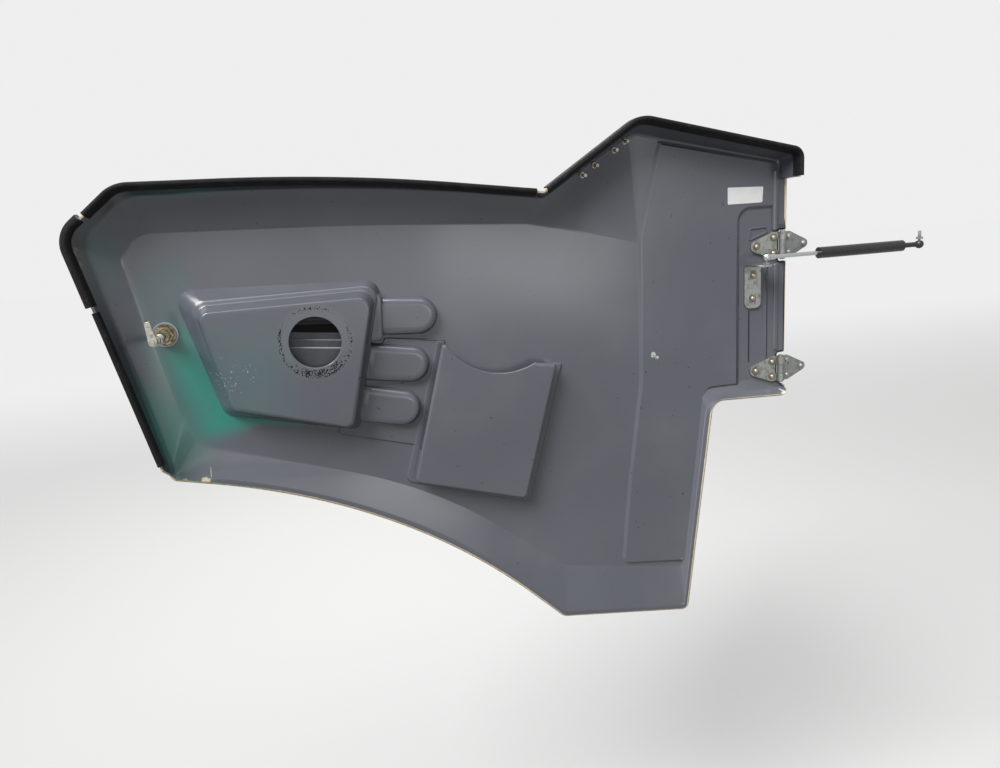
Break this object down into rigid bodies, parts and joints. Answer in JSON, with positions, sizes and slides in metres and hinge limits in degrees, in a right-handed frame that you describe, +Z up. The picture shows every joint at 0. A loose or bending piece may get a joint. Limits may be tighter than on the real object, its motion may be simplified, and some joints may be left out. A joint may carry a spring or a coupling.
{
  "type": "engine side door",
  "caption": "Moulded engine side door of a paving machine, seen open, with leaf hinges, gas strut, air intake box, document pocket, latch and rim seals.",
  "frame": {"origin": "on the face of the machine's post, midway between the outer holes of the two fixed hinge leaves", "axes": "+X from the door towards the machine, +Y away from the door's inner face and into the post, +Z up; the door is stored fully open"},
  "size_m": [1.5867, 0.121, 1.007],
  "materials": {
    "gelcoat_grey": "glossy grey gelcoat on glass-fibre laminate",
    "seal_rubber": "matt black foam rubber",
    "zinc_steel": "dull zinc plate",
    "yellow_zinc": "worn yellow passivated zinc",
    "handle_black": "matt black plastic",
    "rod_chrome": "polished hard chrome",
    "tube_black": "satin black paint"
  },
  "bodies": {
    "pillar_side": {"fixed_leaf_upper": "zinc_steel", "fixed_leaf_lower": "zinc_steel", "rail_ball_stud": "zinc_steel"},
    "door": {"door_shell": "gelcoat_grey", "hinge_doubler": "gelcoat_grey", "intake_box": "gelcoat_grey", "air_bays": "gelcoat_grey", "document_pocket": "gelcoat_grey", "seal_top": "seal_rubber", "seal_corner": "seal_rubber", "seal_side": "seal_rubber", "seal_hump": "seal_rubber", "door_leaf_upper": "zinc_steel", "door_leaf_lower": "zinc_steel", "hinge_pin_upper": "zinc_steel", "hinge_pin_lower": "zinc_steel", "strut_bracket": "zinc_steel", "latch_body": "yellow_zinc", "latch_spindle": "yellow_zinc", "latch_handle": "handle_black"},
    "strut_cylinder": {"strut_tube": "tube_black"},
    "strut_piston": {"strut_rod": "rod_chrome", "rod_ball_stud": "zinc_steel"}
  },
  "joints": [
    {"name": "door_hinge", "type": "hinge", "parent": "pillar_side", "child": "door", "pos_m": [-0.049, -0.007, 0], "axis": [0, 0, 1], "range_deg": [0, 90]},
    {"name": "strut_swing", "type": "hinge", "parent": "pillar_side", "child": "strut_cylinder", "pos_m": [0.236, -0.043, 0.1065], "axis": [0, 0, 1], "range_deg": [0, 4.83]},
    {"name": "strut_stroke", "type": "slide", "parent": "strut_cylinder", "child": "strut_piston", "axis": [1, 0, 0], "range_m": [0, 0.0922]}
  ],
  "couplings": [
    {"joint": "strut_swing", "follows": "door_hinge", "ratio": 0.05356},
    {"joint": "strut_stroke", "follows": "door_hinge", "m_per_rad": 0.05864}
  ]
}
